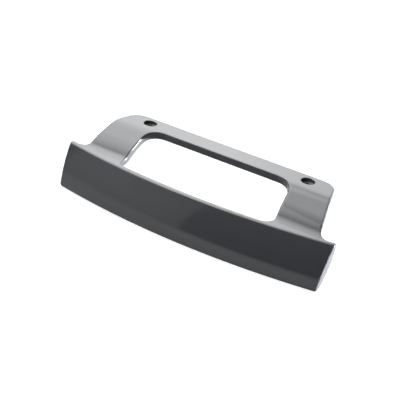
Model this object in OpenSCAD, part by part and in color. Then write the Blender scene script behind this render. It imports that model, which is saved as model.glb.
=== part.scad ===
// Refrigerator door handle: a flat screw strip, two bent legs and a bowed grip, moulded in one piece.
// The origin lies midway between the two screws, on the face that rests on the door.
// X runs along the handle, -Y points out to the hand and +Z is the side of the screw heads.

/* [Screw strip] */
// Distance between the two screws
screw_spacing = 120; // [105:1:126]
// Diameter of the hole that a screw passes through
screw_hole_d = 4.6; // [3.5:0.1:6]
// Diameter of the recess round a screw head
recess_d = 8.8; // [7.5:0.1:10]
// Depth of the recess
recess_depth = 2.4; // [1.5:0.1:3.2]
// Thickness of the strip and the legs
wall = 5.1; // [4:0.1:6.5]
// Length of the strip along its back edge
strip_length = 152; // [140:0.5:162]
// Distance from the screw line back to the back edge
strip_back = 8.5; // [7:0.1:13]
// Distance from the screw line out to the edge of the opening
strip_front = 7.2; // [6.5:0.1:9]
// Radius of the two back corners, seen from above
corner_r = 8; // [2:0.5:9]

/* [Legs] */
// Distance from the screw line out to where the legs start to bend down
bend_start = 6.5; // [5.5:0.5:12]
// Outer radius of the bend below the strip
bend_r = 21; // [8:0.5:30]
// Slope of the legs below that bend, in degrees
leg_slope = 29; // [26:0.5:38]
// Steepest slope of the legs, just above the grip, in degrees
toe_slope = 44.5; // [40:0.5:49]
// Radius of the swell that takes the leg from one slope to the other
swell_r = 41; // [25:1:55]
// Radius of the hollow where a leg runs out onto the grip
toe_r = 5.8; // [4:0.2:9]
// Height of the strip's upper face over the top of the grip
leg_drop = 14.4; // [12.5:0.1:20]
// How far a leg's outer edge splays for each millimetre of depth
splay = 0.24; // [0.1:0.01:0.35]
// Radius of the hollow between a leg's outer edge and the grip
root_r = 7.5; // [2:0.5:9]

/* [Opening] */
// Length of the opening along the strip
opening_length = 106.5; // [90:0.5:110]
// How far each end of the opening splays for each millimetre of depth
opening_splay = 0.1; // [0:0.01:0.25]
// Radius of the opening's corners at the strip
opening_back_r = 11; // [4:0.5:14]
// Radius of the opening's corners at the grip
opening_front_r = 7; // [2:0.5:9]

/* [Grip] */
// Length of the grip along its top
grip_length = 196; // [186:0.5:215]
// How much shorter the grip is along its bottom
grip_taper = 3.4; // [0:0.2:12]
// Radius that the grip is bowed to, seen from above
bow_r = 484; // [380:1:800]
// Distance from the screw line out to the middle of the grip's top edge
grip_reach = 47.2; // [43:0.1:56]
// Height of the grip between the middles of its two rounded edges
grip_height = 25.4; // [18:0.1:32]
// How far the bottom edge stands out beyond the top edge
grip_lean = 9.8; // [4:0.2:16]
// Radius of the rounded top edge
top_edge_r = 2; // [1.2:0.1:2.4]
// Radius of the rounded bottom edge
bottom_edge_r = 1.8; // [1.2:0.1:2.8]
// Radius of the front, from edge to edge
front_r = 78; // [30:1:120]
// Radius of the back, from edge to edge
back_r = 26; // [20:1:90]
// Radius of the grip's corners, seen from the front
grip_corner_r = 1.2; // [1:0.1:5]
// Draft of the grip's end faces, which lie wider apart at the back, in degrees
end_draft = 1; // [0:0.5:4]

/* [Smoothness] */
// Widest turn between neighbouring points of an arc, in degrees
arc_step = 5; // [3:1:10]
// Longest straight piece along the opening's edge at the grip
bow_step = 9; // [4:1:15]

/* [Hidden] */
$fn = 64;
handle_grey = [0.38, 0.38, 0.4];

// Reach past a surface that a cut or a trim goes right through
over = 1;
// Size of a trimming block, larger than the whole handle
block = 2 * grip_length;

// Heights of the strip's upper face and of the grip's top edge
strip_top = wall;
grip_top = strip_top - leg_drop;

// Centre of the grip's bow
bow_y = bow_r - grip_reach;

// Middles of the rounded top and bottom edges in the grip's section, as distance from the bow's
// centre and height
top_edge = [bow_r, grip_top - top_edge_r];
bottom_edge = [bow_r + grip_lean, grip_top - top_edge_r - grip_height];
grip_bottom = bottom_edge[1] - bottom_edge_r;

// Depth below the screw line of the grip's back edge at a distance x from the middle
function grip_back_y(x) = bow_y - sqrt(pow(bow_r - top_edge_r, 2) - x * x);

// Half the length of the handle's leg outline and of its opening at a depth y
function leg_x(y) = strip_length / 2 + splay * (strip_back - y);
function opening_x(y) = opening_length / 2 - opening_splay * (y + strip_front);

// Points of an arc about a centre, from one direction to another
function arc(centre, r, from, to) =
    let (steps = max(1, ceil(abs(to - from) / arc_step)))
    [for (i = [0:steps])
        let (a = from + (to - from) * i / steps)
        centre + r * [cos(a), sin(a)]];

// Unit vector
function unit(v) = v / norm(v);

// Arc of radius r that rounds the corner at q between p and s
function round_corner(p, q, s, r) =
    let (
        u = unit(p - q),
        v = unit(s - q),
        half = acos(u * v) / 2,
        centre = q + unit(u + v) * r / sin(half),
        start = q + u * r / tan(half) - centre,
        end = q + v * r / tan(half) - centre,
        from = atan2(start[1], start[0]),
        turn = atan2(start[0] * end[1] - start[1] * end[0], start * end)
    )
    arc(centre, r, from, from + turn);

// Closed outline with its corners rounded, each by its own radius, or left sharp at 0
function rounded(points, radii) =
    let (n = len(points))
    [for (i = [0:n - 1])
        each radii[i] > 0
            ? round_corner(points[(i + n - 1) % n], points[i], points[(i + 1) % n], radii[i])
            : [points[i]]];

// Upper face of strip and legs from back to front: depth, height and slope at each point
leg_line = strip_top - grip_top
    - bend_r * (1 - cos(leg_slope))
    - swell_r * (cos(leg_slope) - cos(toe_slope))
    - toe_r * (1 - cos(toe_slope));
leg_run = leg_line / tan(leg_slope);
bend_end = [-bend_start - bend_r * sin(leg_slope), strip_top - bend_r * (1 - cos(leg_slope))];
swell_start = bend_end - [leg_run, leg_line];
swell_end = swell_start
    - swell_r * [sin(toe_slope) - sin(leg_slope), cos(leg_slope) - cos(toe_slope)];
toe_end = swell_end - toe_r * [sin(toe_slope), 1 - cos(toe_slope)];

// Slopes passed on the way round one bend
function slopes(from, to) =
    let (steps = max(1, ceil(abs(to - from) / arc_step)))
    [for (i = [0:steps]) from + (to - from) * i / steps];

upper_face = concat(
    [[strip_back, strip_top, 0]],
    [for (a = slopes(0, leg_slope))
        [-bend_start - bend_r * sin(a), strip_top - bend_r * (1 - cos(a)), a]],
    [for (a = slopes(leg_slope, toe_slope))
        [swell_start[0] - swell_r * (sin(a) - sin(leg_slope)),
         swell_start[1] - swell_r * (cos(leg_slope) - cos(a)), a]],
    [for (a = slopes(toe_slope, 0))
        [toe_end[0] + toe_r * sin(a), toe_end[1] + toe_r * (1 - cos(a)), a]],
    [[-grip_reach - grip_lean, grip_top, 0]]
);

// Side view of strip and legs, one wall thick all the way
module side_profile() {
    upper = [for (p = upper_face) [p[0], p[1]]];
    lower = [for (p = upper_face) [p[0] + wall * sin(p[2]), p[1] - wall * cos(p[2])]];
    polygon(concat(upper, [for (i = [len(lower) - 1:-1:0]) lower[i]]));
}

// Outline of strip and legs from above, with a hollow at the root of each leg, beyond which it
// follows the back edge of the grip's top
module leg_outline() {
    root_y = grip_back_y(leg_x(toe_end[0]));
    root_x = leg_x(root_y);
    tip_x = grip_length / 2 + over;
    right = [
        [leg_x(strip_back), strip_back],
        [root_x, root_y],
        [tip_x, grip_back_y(tip_x)],
        [tip_x, -grip_reach - grip_lean]
    ];
    left = [for (i = [len(right) - 1:-1:0]) [-right[i][0], right[i][1]]];
    radii = [corner_r, root_r, 0, 0, 0, 0, root_r, corner_r];
    polygon(rounded(concat(right, left), radii));
}

// Outline of the opening for the fingers, which ends at the back of the grip
module opening_outline() {
    front_y = grip_back_y(opening_x(-grip_reach));
    front_x = opening_x(front_y);
    // directions from the bow's centre of the front corners
    half_angle = atan(front_x / (bow_y - front_y));
    steps = ceil(2 * front_x / bow_step);
    front = [for (i = [1:steps - 1])
        let (a = half_angle * (2 * i / steps - 1))
        [(bow_r - top_edge_r) * sin(a), bow_y - (bow_r - top_edge_r) * cos(a)]];
    back_x = opening_x(-strip_front);
    outline = concat(
        [[back_x, -strip_front], [-back_x, -strip_front], [-front_x, front_y]],
        front,
        [[front_x, front_y]]
    );
    radii = concat(
        [opening_back_r, opening_back_r, opening_front_r],
        [for (p = front) 0],
        [opening_front_r]
    );
    polygon(rounded(outline, radii));
}

// Strip and legs: the bent wall, cut to its outline, up to the middle of the grip's top edge
module strip_and_legs() {
    difference() {
        intersection() {
            rotate([90, 0, 90])
                linear_extrude(block, center = true)
                    side_profile();
            linear_extrude(block, center = true)
                leg_outline();
            translate([0, bow_y, 0])
                cylinder(r = bow_r, h = block, center = true, $fn = 360);
        }
        linear_extrude(block, center = true)
            opening_outline();
    }
}

// Centre of the arc of radius r that runs on smoothly from the rounded top edge to the bottom one,
// on the front (side 1) or on the back (side -1)
function face_centre(r, side) =
    let (
        height = norm(bottom_edge - top_edge),
        down = unit(bottom_edge - top_edge),
        out = [-down[1], down[0]],
        to_top = r - top_edge_r,
        to_bottom = r - bottom_edge_r,
        along = (to_top * to_top - to_bottom * to_bottom + height * height) / (2 * height)
    )
    top_edge + along * down - side * sqrt(to_top * to_top - along * along) * out;

// Direction from one point to another, in degrees, no more than one turn below a limit
function direction(from, to, limit = 180) =
    let (a = atan2(to[1] - from[1], to[0] - from[0]))
    a > limit ? a - 360 : a;

// Section of the grip: a lens between two rounded edges
module grip_section() {
    front = face_centre(front_r, 1);
    back = face_centre(back_r, -1);
    front_top = direction(front, top_edge);
    front_bottom = direction(front, bottom_edge);
    back_bottom = direction(back, bottom_edge, front_bottom);
    back_top = direction(back, top_edge, back_bottom);
    polygon(concat(
        arc(front, front_r, front_top, front_bottom),
        arc(bottom_edge, bottom_edge_r, front_bottom, back_bottom),
        arc(back, back_r, back_bottom, back_top),
        arc(top_edge, top_edge_r, back_top, front_top - 360)
    ));
}

// Everything inside the right-hand end face, with the grip's two rounded corners
module end_limit() {
    half = grip_length / 2;
    edge_y = bow_y - sqrt(bow_r * bow_r - half * half);
    step_x = half - 2 * grip_corner_r;
    outline = [
        [-block, strip_top + over],
        [step_x, strip_top + over],
        [step_x, grip_top],
        [half, grip_top],
        [half - grip_taper / 2, grip_bottom],
        [-block, grip_bottom]
    ];
    translate([half, edge_y, 0])
        rotate([0, 0, -end_draft])
            translate([-half, 0, 0])
                rotate([90, 0, 0])
                    linear_extrude(block, center = true)
                        polygon(rounded(outline, [0, 0, 0, grip_corner_r, grip_corner_r, 0]));
}

// The grip: its section swept round the bow, a little past its length
module grip() {
    sweep = 2 * asin((grip_length / 2 + grip_corner_r) / bow_r);
    translate([0, bow_y, 0])
        rotate([0, 0, -90 - sweep / 2])
            rotate_extrude(angle = sweep, $fn = 360)
                grip_section();
}

// Hole and recess for one screw
module screw_seat() {
    translate([0, 0, -over])
        cylinder(d = screw_hole_d, h = wall + 2 * over);
    translate([0, 0, strip_top - recess_depth])
        cylinder(d = recess_d, h = recess_depth + over);
}

module handle() {
    color(handle_grey)
        difference() {
            intersection() {
                union() {
                    strip_and_legs();
                    grip();
                }
                end_limit();
                mirror([1, 0, 0])
                    end_limit();
            }
            for (side = [-1, 1])
                translate([side * screw_spacing / 2, 0, 0])
                    screw_seat();
        }
}

handle();
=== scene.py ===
import math

import bpy
from mathutils import Matrix, Vector


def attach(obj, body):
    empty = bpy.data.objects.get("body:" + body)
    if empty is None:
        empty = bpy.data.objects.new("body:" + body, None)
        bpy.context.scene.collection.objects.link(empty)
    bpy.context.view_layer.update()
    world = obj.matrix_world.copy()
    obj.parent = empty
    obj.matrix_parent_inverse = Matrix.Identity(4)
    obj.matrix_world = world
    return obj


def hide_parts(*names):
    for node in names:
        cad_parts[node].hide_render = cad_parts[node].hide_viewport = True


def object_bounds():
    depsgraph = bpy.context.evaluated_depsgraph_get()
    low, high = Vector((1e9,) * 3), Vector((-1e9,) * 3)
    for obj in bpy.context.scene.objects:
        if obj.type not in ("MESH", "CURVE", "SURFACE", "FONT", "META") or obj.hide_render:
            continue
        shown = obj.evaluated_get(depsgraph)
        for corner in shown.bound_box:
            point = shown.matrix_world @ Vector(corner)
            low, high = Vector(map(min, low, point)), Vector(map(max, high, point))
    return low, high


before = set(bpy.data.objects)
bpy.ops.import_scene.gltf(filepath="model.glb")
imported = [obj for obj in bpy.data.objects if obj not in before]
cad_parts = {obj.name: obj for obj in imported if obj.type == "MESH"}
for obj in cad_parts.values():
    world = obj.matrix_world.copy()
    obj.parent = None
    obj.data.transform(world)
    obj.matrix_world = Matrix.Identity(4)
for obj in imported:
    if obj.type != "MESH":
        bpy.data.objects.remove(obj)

cad_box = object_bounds()


# The handle: one injection moulding in grey plastic. A flat strip takes the two screws, and two
# bent legs carry a bowed, leaning grip in front of an opening for the fingers. The mould leaves
# every edge slightly round, with a small fillet behind the grip.
mm = 0.001
shape = bpy.data.node_groups.new("handle_shape", "GeometryNodeTree")
entry = shape.nodes.new("NodeGroupInput")
settings = {}


class Field:
    """A number that Geometry Nodes works out at each point of space."""

    def __init__(self, socket):
        self.socket = socket

    def __add__(self, other):
        return calc("ADD", self, other)

    def __sub__(self, other):
        return calc("SUBTRACT", self, other)

    def __rsub__(self, other):
        return calc("SUBTRACT", other, self)

    def __mul__(self, other):
        return calc("MULTIPLY", self, other)

    def __truediv__(self, other):
        return calc("DIVIDE", self, other)

    def __neg__(self):
        return calc("MULTIPLY", self, -1.0)


def calc(operation, *values):
    """A Math node on fields or plain numbers."""
    node = shape.nodes.new("ShaderNodeMath")
    node.operation = operation
    for socket, value in zip(node.inputs, values):
        if isinstance(value, Field):
            shape.links.new(value.socket, socket)
        else:
            socket.default_value = value
    return Field(node.outputs[0])


def size(name, value, subtype="DISTANCE"):
    """A named input of the shape, with the value that this handle has."""
    socket = shape.interface.new_socket(name=name, in_out="INPUT", socket_type="NodeSocketFloat")
    socket.subtype = subtype
    settings[socket.identifier] = value
    return Field(entry.outputs[name])


def larger(a, b):
    return calc("MAXIMUM", a, b)


def smaller(a, b):
    return calc("MINIMUM", a, b)


def sin(a):
    return calc("SINE", a)


def cos(a):
    return calc("COSINE", a)


def length(a, b):
    return calc("SQRT", a * a + b * b)


def choose(test, a, b):
    """a where test is below zero, else b."""
    return b + (a - b) * calc("LESS_THAN", test, 0.0)


def share(value, start, end):
    """0 before start, 1 after end and even between them."""
    return smaller(larger((value - start) / (end - start), 0.0), 1.0)


def overlap(a, b, radius):
    """What lies in both a and b, with a round edge where their surfaces meet."""
    return (smaller(larger(a, b), -radius)
            + length(larger(a + radius, 0.0), larger(b + radius, 0.0)))


def join(a, b, radius):
    """What lies in a or in b, with a fillet where their surfaces meet."""
    return -overlap(-a, -b, radius)


# Each field below is a distance from a surface: below zero in the plastic, above it outside.
place = shape.nodes.new("GeometryNodeInputPosition")
split = shape.nodes.new("ShaderNodeSeparateXYZ")
shape.links.new(place.outputs[0], split.inputs[0])
x, y, z = (Field(output) for output in split.outputs)
side_x = calc("ABSOLUTE", x)

screw_spacing = size("Screw spacing", 120 * mm)
screw_hole_d = size("Screw hole diameter", 4.6 * mm)
recess_d = size("Recess diameter", 8.8 * mm)
recess_depth = size("Recess depth", 2.4 * mm)
wall = size("Wall", 5.1 * mm)
strip_length = size("Strip length", 152 * mm)
strip_back = size("Strip back", 8.5 * mm)
strip_front = size("Strip front", 7.2 * mm)
corner_r = size("Corner radius", 8 * mm)

bend_start = size("Bend start", 6.5 * mm)
bend_r = size("Bend radius", 21 * mm)
leg_slope = size("Leg slope", math.radians(29), "ANGLE")
toe_slope = size("Toe slope", math.radians(44.5), "ANGLE")
swell_r = size("Swell radius", 41 * mm)
toe_r = size("Toe radius", 5.8 * mm)
leg_drop = size("Leg drop", 14.4 * mm)
splay = size("Splay", 0.24, "NONE")
root_r = size("Root radius", 7.5 * mm)

opening_length = size("Opening length", 106.5 * mm)
opening_splay = size("Opening splay", 0.1, "NONE")
opening_back_r = size("Opening back radius", 11 * mm)
opening_front_r = size("Opening front radius", 7 * mm)

grip_length = size("Grip length", 196 * mm)
grip_taper = size("Grip taper", 3.4 * mm)
bow_r = size("Bow radius", 484 * mm)
grip_reach = size("Grip reach", 47.2 * mm)
grip_height = size("Grip height", 25.4 * mm)
grip_lean = size("Grip lean", 9.8 * mm)
top_edge_r = size("Top edge radius", 2 * mm)
bottom_edge_r = size("Bottom edge radius", 1.8 * mm)
front_r = size("Front radius", 78 * mm)
back_r = size("Back radius", 26 * mm)
grip_corner_r = size("Grip corner radius", 1.2 * mm)
end_draft = size("End draft", math.radians(1), "ANGLE")
edge_r = size("Edge radius", 0.85 * mm)
fillet_r = size("Fillet radius", 1.5 * mm)


# Strip and legs, seen from the side: a wall that bends down, steepens along a long swell, and
# turns back at the toe to run out level. Three arcs, each tangent to the next.
def bent_face(centre_y, centre_z, radius, start, end, side):
    """Distance over a face that turns from one slope to another round a centre."""
    depth = y - centre_y
    height = z - centre_z
    slope = smaller(larger(calc("ARCTAN2", depth * -side, height * side), start), end)
    return height * cos(slope) - depth * sin(slope) - radius * side


grip_top = wall - leg_drop
leg_line = (leg_drop - bend_r * (1.0 - cos(leg_slope))
            - swell_r * (cos(leg_slope) - cos(toe_slope)) - toe_r * (1.0 - cos(toe_slope)))
swell_y = (-bend_start - bend_r * sin(leg_slope) - leg_line / calc("TANGENT", leg_slope)
           + swell_r * sin(leg_slope))
swell_z = wall - bend_r * (1.0 - cos(leg_slope)) - leg_line - swell_r * cos(leg_slope)
turn_y = swell_y - swell_r * sin(toe_slope)
turn_z = swell_z + swell_r * cos(toe_slope)
toe_y = turn_y - toe_r * sin(toe_slope)
toe_z = turn_z + toe_r * cos(toe_slope)
past_turn = (y - turn_y) * -cos(toe_slope) - (z - turn_z) * sin(toe_slope)
upper_face = choose(
    past_turn,
    larger(bent_face(-bend_start, wall - bend_r, bend_r, 0.0, leg_slope, 1.0),
           bent_face(swell_y, swell_z, swell_r, leg_slope, toe_slope, 1.0)),
    bent_face(toe_y, toe_z, toe_r, 0.0, toe_slope, -1.0))
bent_wall = calc("ABSOLUTE", upper_face + wall / 2.0) - wall / 2.0

# Strip and legs, seen from above: the outline with a hollow at each root, and the opening.
bow_y = bow_r - grip_reach
bow = length(x, y - bow_y)
grip_back = bow - (bow_r - top_edge_r)
leg_edge = ((side_x - strip_length / 2.0 - splay * (strip_back - y))
            / calc("SQRT", splay * splay + 1.0))
outline = join(overlap(leg_edge, y - strip_back, corner_r), -grip_back, root_r)
opening_edge = ((side_x - opening_length / 2.0 + opening_splay * (y + strip_front))
                / calc("SQRT", opening_splay * opening_splay + 1.0))
opening = overlap(overlap(y + strip_front, opening_edge, opening_back_r),
                  grip_back, opening_front_r)
out = bow - bow_r
plan = larger(larger(outline, -opening), out)
strip_and_legs = overlap(bent_wall, plan, edge_r)

# The grip: a lens between two round edges, swept round the bow. From the middle of the round top
# edge, down runs along the grip to the middle of the bottom one, and over runs out to the front.
up = z - (grip_top - top_edge_r)
grip_width = length(grip_height, grip_lean)
down = (out * grip_lean - up * grip_height) / grip_width
over = (out * grip_height + up * grip_lean) / grip_width


def lens_centre(radius):
    """How far down the grip and how deep the centre of one of its two faces lies."""
    to_top = radius - top_edge_r
    to_bottom = radius - bottom_edge_r
    along = ((to_top * to_top - to_bottom * to_bottom + grip_width * grip_width)
             / (grip_width * 2.0))
    return along, calc("SQRT", to_top * to_top - along * along)


front_along, front_deep = lens_centre(front_r)
back_along, back_deep = lens_centre(back_r)
faces = larger(length(down - front_along, over + front_deep) - front_r,
               length(down - back_along, over - back_deep) - back_r)
top_edge = length(down, over) - top_edge_r
bottom_edge = length(down - grip_width, over) - bottom_edge_r
past_top = larger(front_deep * down + front_along * over, back_deep * down - back_along * over)
past_bottom = larger(
    (grip_width - front_along) * over - front_deep * (down - grip_width),
    back_deep * (grip_width - down) - (grip_width - back_along) * over)
lens = choose(past_top, top_edge, choose(past_bottom, bottom_edge, faces))

# Both together, trimmed to the end faces, with the screw holes and their recesses. The fillet
# grows in under the wall, and the rims of the holes stay crisper than the other edges.
fillet_start = wall * 0.7
rim_r = edge_r * 0.3
whole = join(strip_and_legs, lens, fillet_r * share(grip_top - z, fillet_start, wall))
grip_bottom = grip_top - top_edge_r - grip_height - bottom_edge_r
half_length = grip_length / 2.0
edge_y = bow_y - calc("SQRT", bow_r * bow_r - half_length * half_length)
end_face = (side_x - half_length - calc("TANGENT", end_draft) * (y - edge_y)
            + grip_taper / 2.0 * (grip_top - z) / (grip_top - grip_bottom))
near_edge = larger(share(z, grip_top - grip_corner_r * 2.0, grip_top - grip_corner_r),
                   share(grip_bottom - z, grip_corner_r * -2.0, -grip_corner_r))
whole = overlap(whole, end_face, edge_r + (grip_corner_r - edge_r) * near_edge)
screw_axis = length(side_x - screw_spacing / 2.0, y)
recess = larger(screw_axis - recess_d / 2.0, wall - recess_depth - z)
whole = overlap(whole, -recess, rim_r)
whole = overlap(whole, screw_hole_d / 2.0 - screw_axis, rim_r)

# The surface lies where the distance is zero. Three steps then move its points closer to it.
voxel = 0.57 * mm
threshold = 1.0
seating_steps = 3
margin = Vector((2 * mm, 2 * mm, 2 * mm))
lowest = Vector(cad_box[0]) - margin
highest = Vector(cad_box[1]) + margin
density = threshold - whole / voxel
cube = shape.nodes.new("GeometryNodeVolumeCube")
shape.links.new(density.socket, cube.inputs["Density"])
cube.inputs["Min"].default_value = lowest
cube.inputs["Max"].default_value = highest
for axis, name in enumerate(("Resolution X", "Resolution Y", "Resolution Z")):
    cube.inputs[name].default_value = round((highest - lowest)[axis] / voxel)
surface = shape.nodes.new("GeometryNodeVolumeToMesh")
surface.inputs["Threshold"].default_value = threshold
surface.inputs["Adaptivity"].default_value = 0.0
shape.links.new(cube.outputs[0], surface.inputs[0])
mesh_socket = surface.outputs[0]
normal = shape.nodes.new("GeometryNodeInputNormal")
for _ in range(seating_steps):
    shift = shape.nodes.new("ShaderNodeVectorMath")
    shift.operation = "SCALE"
    shape.links.new(normal.outputs[0], shift.inputs[0])
    shape.links.new((-whole).socket, shift.inputs["Scale"])
    seat = shape.nodes.new("GeometryNodeSetPosition")
    shape.links.new(mesh_socket, seat.inputs["Geometry"])
    shape.links.new(shift.outputs[0], seat.inputs["Offset"])
    mesh_socket = seat.outputs[0]

plastic = bpy.data.materials.new("handle_plastic")
plastic.use_nodes = True
smooth = shape.nodes.new("GeometryNodeSetShadeSmooth")
real = shape.nodes.new("GeometryNodeRealizeInstances")
coat = shape.nodes.new("GeometryNodeSetMaterial")
coat.inputs["Material"].default_value = plastic
for node in (smooth, real, coat):
    shape.links.new(mesh_socket, node.inputs["Geometry"])
    mesh_socket = node.outputs[0]
shape.interface.new_socket(name="Mesh", in_out="OUTPUT", socket_type="NodeSocketGeometry")
leave = shape.nodes.new("NodeGroupOutput")
shape.links.new(mesh_socket, leave.inputs[0])

blank = bpy.data.objects.new("handle_blank", bpy.data.meshes.new("handle_blank"))
bpy.context.scene.collection.objects.link(blank)
modifier = blank.modifiers.new("shape", "NODES")
modifier.node_group = shape
for identifier, value in settings.items():
    modifier[identifier] = value
handle_mesh = bpy.data.meshes.new_from_object(
    blank.evaluated_get(bpy.context.evaluated_depsgraph_get()))
bpy.data.objects.remove(blank)
# Only the plastic's slot stays.
handle_mesh.materials.pop(index=0)
handle_mesh.name = "moulded_handle"
handle = bpy.data.objects.new("moulded_handle", handle_mesh)
bpy.context.scene.collection.objects.link(handle)
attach(handle, "root")
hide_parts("handle")

# The plastic: a satin grey moulding compound. Its colour clouds a little where the melt flowed, its
# sheen changes from place to place, and the mould left a fine grain under shallow hairlines.
tree = plastic.node_tree
shader = tree.nodes["Principled BSDF"]
shader.inputs["IOR"].default_value = 1.58
spot = tree.nodes.new("ShaderNodeTexCoord")


def noise(waves, detail=2.0, stretch=(1, 1, 1)):
    """Noise in the part's own frame, with so many waves to the metre."""
    mapping = tree.nodes.new("ShaderNodeMapping")
    mapping.inputs["Scale"].default_value = stretch
    tree.links.new(spot.outputs["Object"], mapping.inputs["Vector"])
    texture = tree.nodes.new("ShaderNodeTexNoise")
    texture.inputs["Scale"].default_value = waves
    texture.inputs["Detail"].default_value = detail
    tree.links.new(mapping.outputs[0], texture.inputs["Vector"])
    return texture.outputs["Fac"]


def ranged(value, start, end, low=0.0, high=1.0):
    """value from start to end, spread over low to high."""
    node = tree.nodes.new("ShaderNodeMapRange")
    for name, number in zip(("From Min", "From Max", "To Min", "To Max"), (start, end, low, high)):
        node.inputs[name].default_value = number
    tree.links.new(value, node.inputs["Value"])
    return node.outputs["Result"]


dark_grey = (0.068, 0.072, 0.079, 1)
light_grey = (0.075, 0.079, 0.087, 1)
clouds = noise(waves=35, detail=3.0, stretch=(0.4, 1, 1))
colour = tree.nodes.new("ShaderNodeMix")
colour.data_type = "RGBA"
colour.inputs["A"].default_value = dark_grey
colour.inputs["B"].default_value = light_grey
tree.links.new(ranged(clouds, start=0.3, end=0.7), colour.inputs["Factor"])
tree.links.new(colour.outputs["Result"], shader.inputs["Base Color"])

sheen = ranged(noise(waves=110, detail=4.0), start=0.3, end=0.7, low=0.07, high=0.1)
tree.links.new(sheen, shader.inputs["Roughness"])

hairlines = ranged(noise(waves=900, stretch=(0.04, 1, 1)), start=0.62, end=0.7)
scratched = tree.nodes.new("ShaderNodeBump")
scratched.invert = True
scratched.inputs["Strength"].default_value = 0.25
scratched.inputs["Distance"].default_value = 0.002 * mm
tree.links.new(hairlines, scratched.inputs["Height"])
grain = tree.nodes.new("ShaderNodeBump")
grain.inputs["Strength"].default_value = 0.4
grain.inputs["Distance"].default_value = 0.004 * mm
tree.links.new(noise(waves=2600), grain.inputs["Height"])
tree.links.new(scratched.outputs["Normal"], grain.inputs["Normal"])
tree.links.new(grain.outputs["Normal"], shader.inputs["Normal"])


# The studio: a plain floor just under the handle, five large softboxes over its back and left, a
# low lamp at its right end and a dim card at the front left, in a surround that is white for the
# camera alone. The floor is lifted to white for the camera, and a little for its reflection.
floor_reach = 3.0
floor_z = cad_box[0][2] - 0.5 * mm
paper_grey = 0.42
lift_seen = 0.8
lift_mirrored = 0.22
surround_light = 0.06

floor_mesh = bpy.data.meshes.new("floor")
floor_mesh.from_pydata(
    [(-floor_reach, -floor_reach, floor_z), (floor_reach, -floor_reach, floor_z),
     (floor_reach, floor_reach, floor_z), (-floor_reach, floor_reach, floor_z)],
    [], [(0, 1, 2, 3)])
floor = bpy.data.objects.new("floor", floor_mesh)
bpy.context.scene.collection.objects.link(floor)
paper = bpy.data.materials.new("floor_paper")
paper.use_nodes = True
floor_mesh.materials.append(paper)
paper_tree = paper.node_tree
sheet = paper_tree.nodes["Principled BSDF"]
sheet.inputs["Base Color"].default_value = (paper_grey, paper_grey, paper_grey, 1)
sheet.inputs["Roughness"].default_value = 1.0
sheet.inputs["Specular IOR Level"].default_value = 0.0
sheet.inputs["Emission Color"].default_value = (1, 1, 1, 1)
floor_rays = paper_tree.nodes.new("ShaderNodeLightPath")
seen = paper_tree.nodes.new("ShaderNodeMath")
seen.operation = "MULTIPLY"
seen.inputs[1].default_value = lift_seen
paper_tree.links.new(floor_rays.outputs["Is Camera Ray"], seen.inputs[0])
lift = paper_tree.nodes.new("ShaderNodeMath")
lift.operation = "MULTIPLY_ADD"
lift.inputs[1].default_value = lift_mirrored
paper_tree.links.new(floor_rays.outputs["Is Glossy Ray"], lift.inputs[0])
paper_tree.links.new(seen.outputs[0], lift.inputs[2])
paper_tree.links.new(lift.outputs[0], sheet.inputs["Emission Strength"])

world = bpy.data.worlds.new("surround")
bpy.context.scene.world = world
world.use_nodes = True
world_tree = world.node_tree
backdrop = world_tree.nodes["Background"]
backdrop.inputs["Color"].default_value = (1, 1, 1, 1)
world_rays = world_tree.nodes.new("ShaderNodeLightPath")
brightness = world_tree.nodes.new("ShaderNodeMapRange")
brightness.inputs["To Min"].default_value = surround_light
brightness.inputs["To Max"].default_value = 1.0
world_tree.links.new(world_rays.outputs["Is Camera Ray"], brightness.inputs["Value"])
world_tree.links.new(brightness.outputs["Result"], backdrop.inputs["Strength"])

lamp_distance = 1.1


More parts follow.
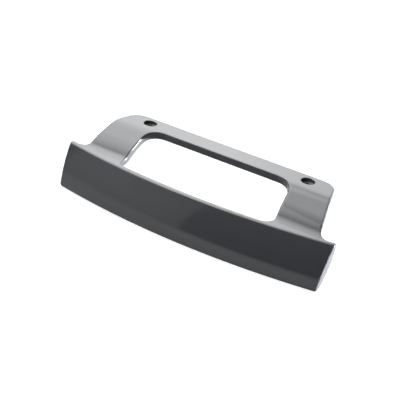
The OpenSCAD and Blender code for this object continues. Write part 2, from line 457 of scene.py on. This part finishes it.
def softbox(name, azimuth, elevation, width, height, spread, power, aim=(0, 0, 0)):
    """A gridded lamp that faces the handle, at angles counted from +X and from the floor."""
    lamp_data = bpy.data.lights.new(name, "AREA")
    lamp_data.shape = "RECTANGLE"
    lamp_data.size = width
    lamp_data.size_y = height
    lamp_data.spread = math.radians(spread)
    lamp_data.energy = power
    lamp = bpy.data.objects.new(name, lamp_data)
    turn, rise = math.radians(azimuth), math.radians(elevation)
    lamp.location = lamp_distance * Vector((math.cos(turn) * math.cos(rise),
                                            math.sin(turn) * math.cos(rise), math.sin(rise)))
    lamp.rotation_euler = (Vector(aim) - lamp.location).to_track_quat("-Z", "Y").to_euler()
    bpy.context.scene.collection.objects.link(lamp)


# Each name is followed by azimuth, elevation, width, height, spread and power, in degrees,
# metres and watts.
softbox("softbox_back", 115, 26, 1.25, 1.05, 60, 1.38)
softbox("softbox_middle", 135, 49, 1.25, 1.1, 60, 1.68)
softbox("softbox_left", 165, 45, 1.2, 1.1, 60, 0.9)
softbox("softbox_top", 172, 73, 1.25, 1.1, 60, 1.6)
softbox("softbox_front", 205, 49, 0.95, 0.9, 60, 1.1)
softbox("lamp_right", 22, -1, 0.3, 0.03, 18, 1.55, aim=(0.09, -0.08, -0.02))
softbox("card_front", 232, 9, 0.64, 0.8, 90, 0.19)

# The camera, as solved on the photograph: its azimuth, elevation and roll in radians, and its
# place in millimetres from the middle of the strip's upper face, sideways, up and back.
azimuth, elevation, roll = 0.4620792587, 0.4848294513, 0.1493604198
sideways, upwards, distance = -17.2301523, -32.2597693, 593.3399123
strip_middle = Vector((0, 0, 5.1))
back = Vector((math.sin(azimuth) * math.cos(elevation), -math.cos(azimuth) * math.cos(elevation),
               math.sin(elevation)))
level_x = Vector((math.cos(azimuth), math.sin(azimuth), 0))
level_y = back.cross(level_x)
camera_x = math.cos(roll) * level_x + math.sin(roll) * level_y
camera_y = -math.sin(roll) * level_x + math.cos(roll) * level_y
eye = (sideways * camera_x + upwards * camera_y + distance * back + strip_middle) * mm
camera_data = bpy.data.cameras.new("camera")
camera_data.sensor_width = 36
camera_data.lens = 81
camera_data.clip_start = 0.05
camera = bpy.data.objects.new("camera", camera_data)
camera.matrix_world = Matrix((
    (camera_x.x, camera_y.x, back.x, eye.x),
    (camera_x.y, camera_y.y, back.y, eye.y),
    (camera_x.z, camera_y.z, back.z, eye.z),
    (0, 0, 0, 1)))
bpy.context.scene.collection.objects.link(camera)
bpy.context.scene.camera = camera
bpy.context.scene.view_settings.view_transform = "Standard"
